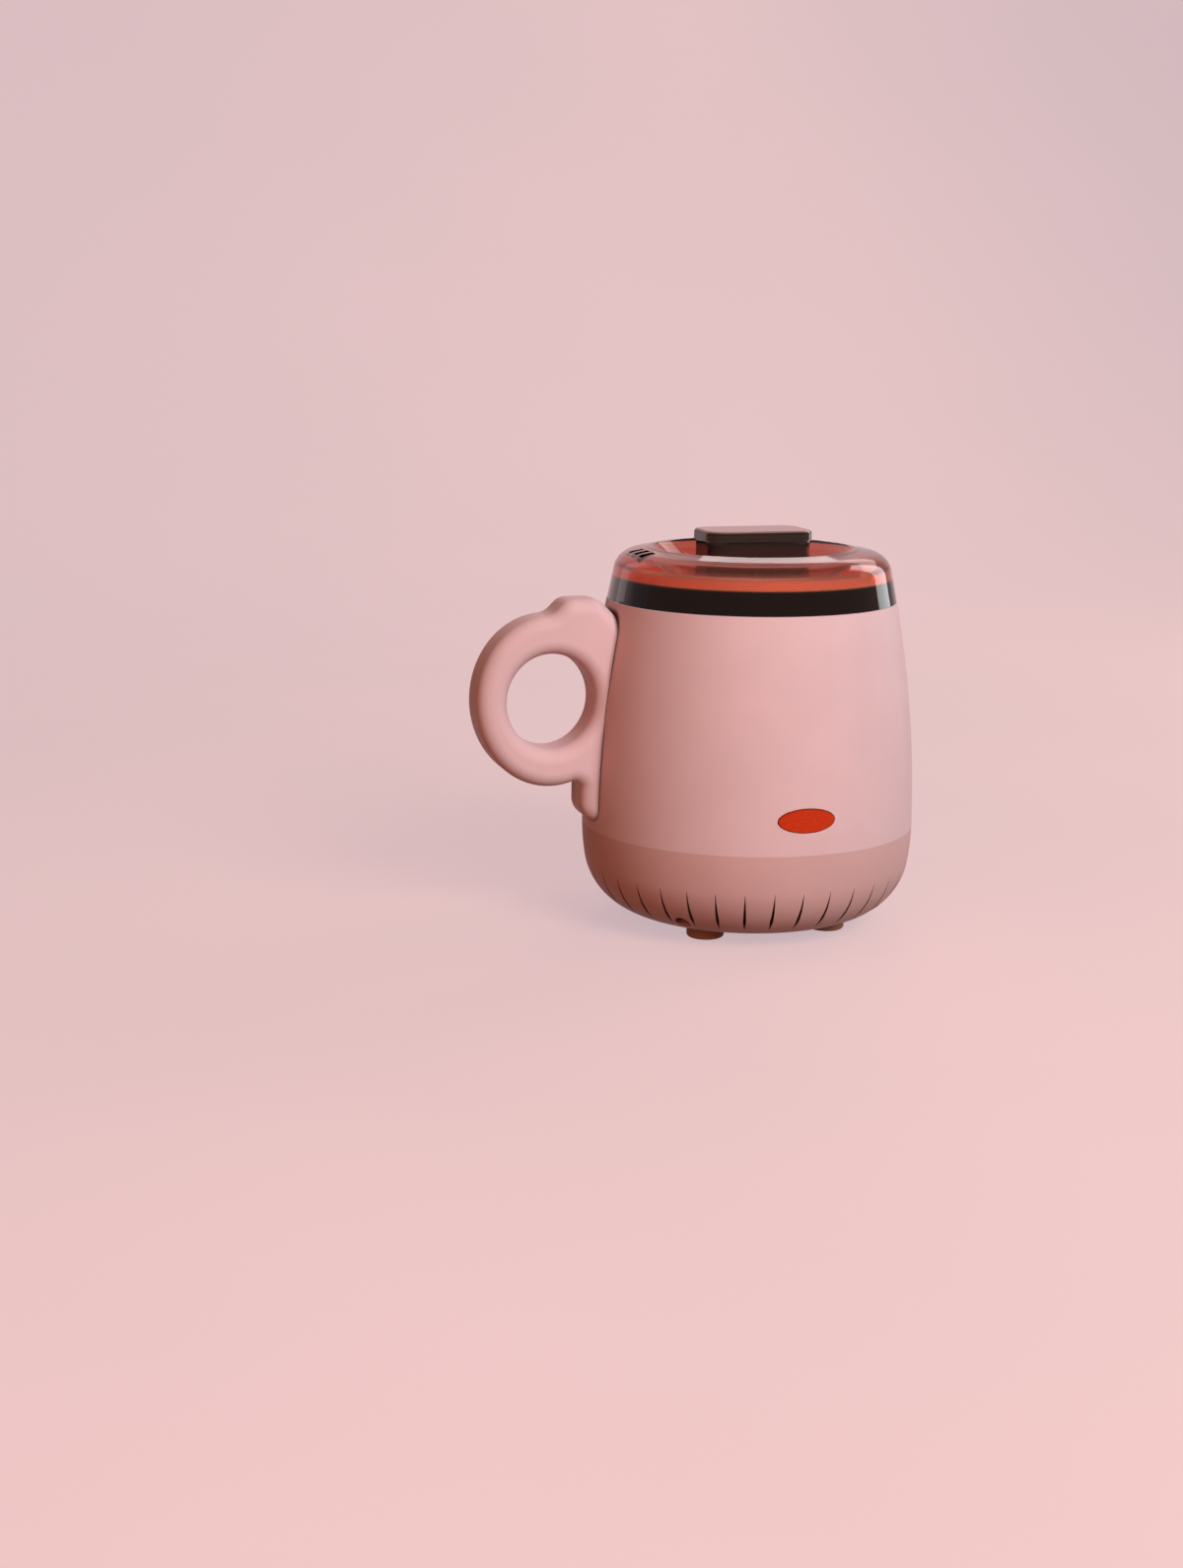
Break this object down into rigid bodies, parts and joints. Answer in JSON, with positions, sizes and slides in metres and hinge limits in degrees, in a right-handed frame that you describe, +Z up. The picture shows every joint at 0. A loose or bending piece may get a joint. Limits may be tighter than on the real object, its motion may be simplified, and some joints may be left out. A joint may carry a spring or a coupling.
{
  "type": "wax warmer",
  "caption": "Mug-shaped electric wax warmer with ring handle, slitted rounded base, lift-out pot, see-through domed lid with block knob, and an oval push button.",
  "frame": {"origin": "middle of the overall footprint, handle included, on the surface the feet stand on", "axes": "+Z up; -Y out of the button at the front; the handle points to -X; the barrel's axis stands at x = +23.75 mm"},
  "size_m": [0.1812, 0.1342, 0.1588],
  "materials": {
    "shell_pink": "satin moulded light pink",
    "base_pink": "satin moulded dusty pink",
    "foot_rubber": "matt brown-pink rubber",
    "screw_steel": "zinc plated",
    "collar_dark": "heat resistant dark brown",
    "pot_aluminium": "plain drawn aluminium",
    "seal_silicone": "grey silicone",
    "element_steel": "bright sheet steel",
    "control_dark": "black moulded",
    "fuse_metal": "tinned can",
    "button_red": "lit translucent red",
    "lamp_red": "clear red lens",
    "board_green": "coated laminate",
    "block_white": "off-white moulded",
    "gland_dark": "black moulded",
    "lid_amber": "see-through amber brown",
    "lead_sleeve": "white glass-fibre sleeve"
  },
  "bodies": {
    "housing": {"upper_shell": "shell_pink", "handle_front": "shell_pink", "handle_rear": "shell_pink", "base_shell": "base_pink", "foot_front_left": "foot_rubber", "foot_front_right": "foot_rubber", "foot_rear_left": "foot_rubber", "foot_rear_right": "foot_rubber", "base_screws": "screw_steel", "handle_screws": "screw_steel", "handle_mount_screws": "screw_steel", "bracket_screws": "screw_steel", "thermostat_screws": "screw_steel", "board_screws": "screw_steel", "block_screw": "screw_steel", "centre_stud": "screw_steel", "stud_nut": "screw_steel", "top_collar": "collar_dark", "heating_cup": "pot_aluminium", "heating_plate": "pot_aluminium", "cup_seal": "seal_silicone", "heater_element": "element_steel", "heat_shield": "element_steel", "cup_bracket": "element_steel", "stud_spacer": "element_steel", "fuse_clip": "element_steel", "thermostat": "control_dark", "push_switch": "control_dark", "thermal_fuse": "fuse_metal", "indicator_lamp": "lamp_red", "control_board": "board_green", "terminal_block": "block_white", "cord_gland": "gland_dark", "lead_mains_to_switch": "lead_sleeve", "lead_switch_to_thermostat": "lead_sleeve", "lead_mains_to_heater": "lead_sleeve"},
    "pot": {"wax_pot": "pot_aluminium"},
    "lid": {"lid_shell": "lid_amber", "knob_stem": "lid_amber", "knob_cap": "lid_amber", "knob_screw": "screw_steel"},
    "button": {"power_button": "button_red", "switch_plunger": "control_dark"}
  },
  "joints": [
    {"name": "pot_lift", "type": "slide", "parent": "housing", "child": "pot", "axis": [0, 0, 1], "range_m": [0, 0.1]},
    {"name": "lid_lift", "type": "slide", "parent": "pot", "child": "lid", "axis": [0, 0, 1], "range_m": [0, 0.06]},
    {"name": "button_press", "type": "slide", "parent": "housing", "child": "button", "axis": [0, 1, 0], "range_m": [0, 0.002], "stiffness_N_per_m": 400}
  ]
}
